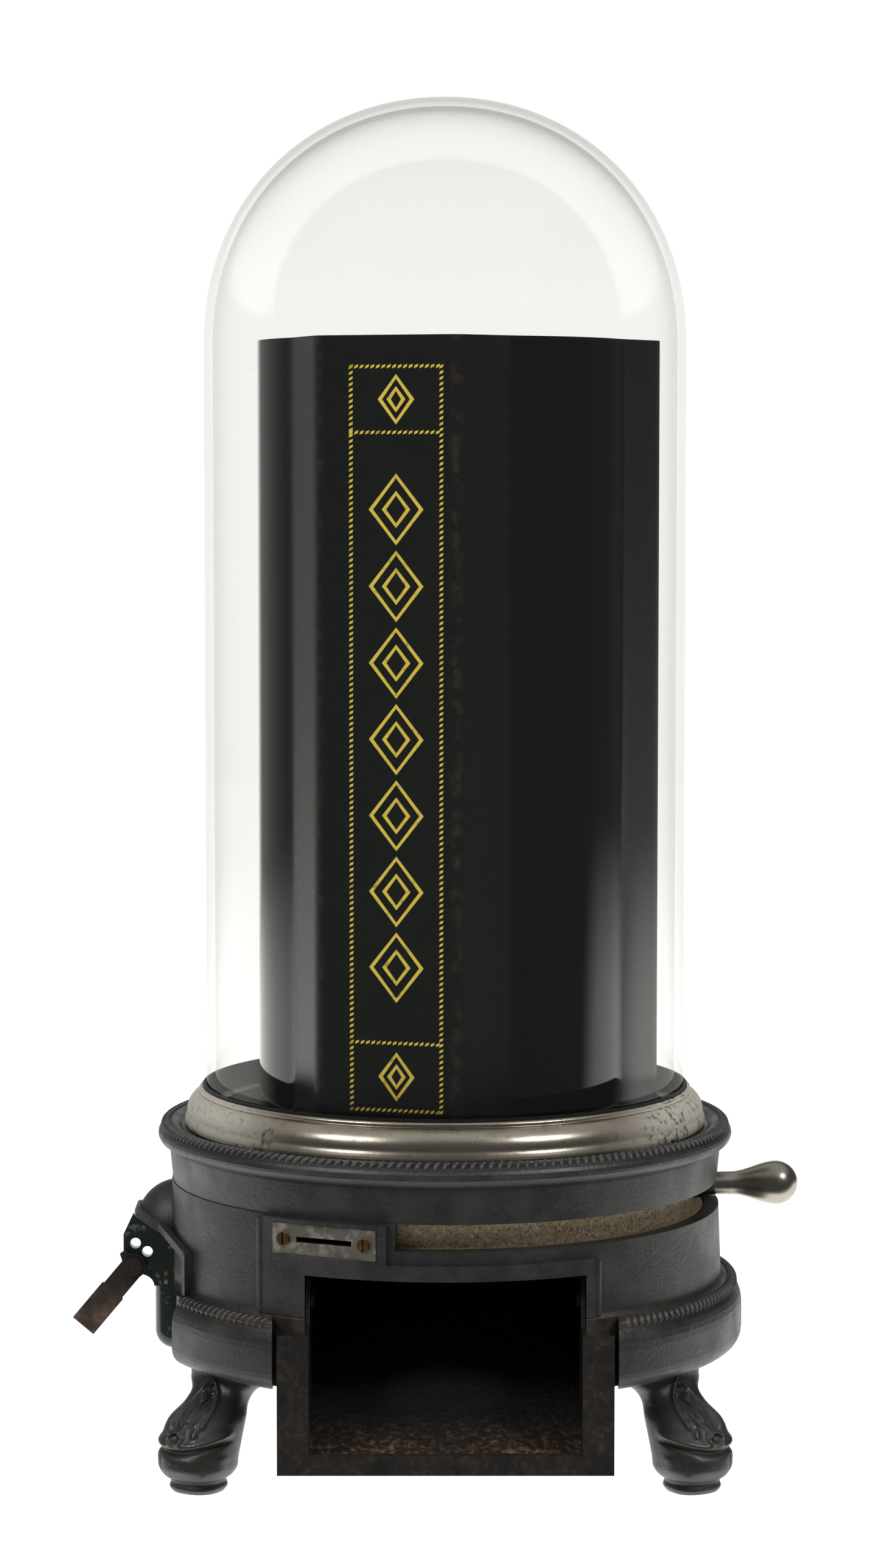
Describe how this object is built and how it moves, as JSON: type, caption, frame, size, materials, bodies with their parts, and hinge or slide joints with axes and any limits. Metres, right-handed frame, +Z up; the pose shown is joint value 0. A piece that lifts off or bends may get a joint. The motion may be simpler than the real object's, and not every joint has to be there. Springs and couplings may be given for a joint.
{
  "type": "match vending machine",
  "caption": "Counter vending machine: cast base on paw feet, coin slot, swing lever, delivery tray and cutter, under a glass dome that covers a turning magazine of match boxes.",
  "frame": {"origin": "on the machine's vertical axis, at the surface it stands on", "axes": "+Z up; the front, with the delivery tray and coin plate, faces -Y; the lever knob is on +X and the cutter on -X"},
  "size_m": [0.2591, 0.2241, 0.4782],
  "materials": {
    "iron": "worn black paint",
    "tray_iron": "dark, with rust",
    "steel": "dull",
    "nickel": "aged nickel plate",
    "nickel_silver": "worn nickel silver",
    "worn_brass": "dull, speckled",
    "brass": "tarnished",
    "japanned": "gloss black",
    "sheet": "dull grey",
    "glass": "clear",
    "seal": "matt",
    "green_enamel": "gloss dark green",
    "rusty_iron": "rusted"
  },
  "bodies": {
    "base": {"base_body": "iron", "foot_left": "iron", "foot_right": "iron", "foot_rear": "iron", "foot_bolts": "steel", "bottom_cover": "tray_iron", "cover_screws": "steel", "chute_tray": "tray_iron", "tray_screws": "steel", "coin_plate": "nickel_silver", "coin_plate_screws": "brass", "base_deck": "sheet", "base_deck_screws": "steel", "coin_chute": "sheet", "cash_shelf": "sheet", "shelf_screws": "steel", "top_ring": "iron", "ring_screws": "steel", "deck_plate": "sheet", "deck_screws": "steel", "spindle": "steel", "spindle_nut": "steel", "spindle_cap_nut": "steel", "thrust_washer": "brass", "detent_spring": "steel", "detent_screw": "steel", "cutter_bracket": "green_enamel", "bracket_screws": "brass", "cutter_pivot": "steel"},
    "drive": {"drive_ring": "worn_brass", "vend_disc": "steel", "vend_disc_screws": "steel", "lever_shank": "steel", "lever_knob": "nickel"},
    "turret": {"turret_shell": "japanned", "turret_floor": "sheet", "turret_top": "sheet", "turret_hub": "steel", "column_backs": "sheet"},
    "dome": {"glass_dome": "glass", "dome_collar": "nickel", "dome_gasket": "seal"},
    "cutter": {"cutter_lever": "rusty_iron"},
    "drawer": {"cash_drawer": "sheet", "drawer_face": "iron", "drawer_rivets": "steel", "lock_barrel": "brass"},
    "lock": {"lock_plug": "brass", "lock_cam": "steel"}
  },
  "joints": [
    {"name": "lever_swing", "type": "hinge", "parent": "base", "child": "drive", "pos_m": [0, 0, 0.0933], "axis": [0, 0, -1], "range_deg": [0, 100]},
    {"name": "turret_turn", "type": "hinge", "parent": "base", "child": "turret", "pos_m": [0, 0, 0.25], "axis": [0, 0, 1], "continuous": true},
    {"name": "dome_lift", "type": "slide", "parent": "base", "child": "dome", "axis": [0, 0, 1], "range_m": [0, 0.3]},
    {"name": "cutter_swing", "type": "hinge", "parent": "base", "child": "cutter", "pos_m": [-0.1108, -0.0076, 0.0661], "axis": [0, 1, 0], "range_deg": [0, 70]},
    {"name": "drawer_slide", "type": "slide", "parent": "base", "child": "drawer", "axis": [0, 1, 0], "range_m": [0, 0.055]},
    {"name": "lock_turn", "type": "hinge", "parent": "drawer", "child": "lock", "pos_m": [0, 0.0965, 0.0759], "axis": [0, -1, 0], "range_deg": [0, 90]}
  ]
}
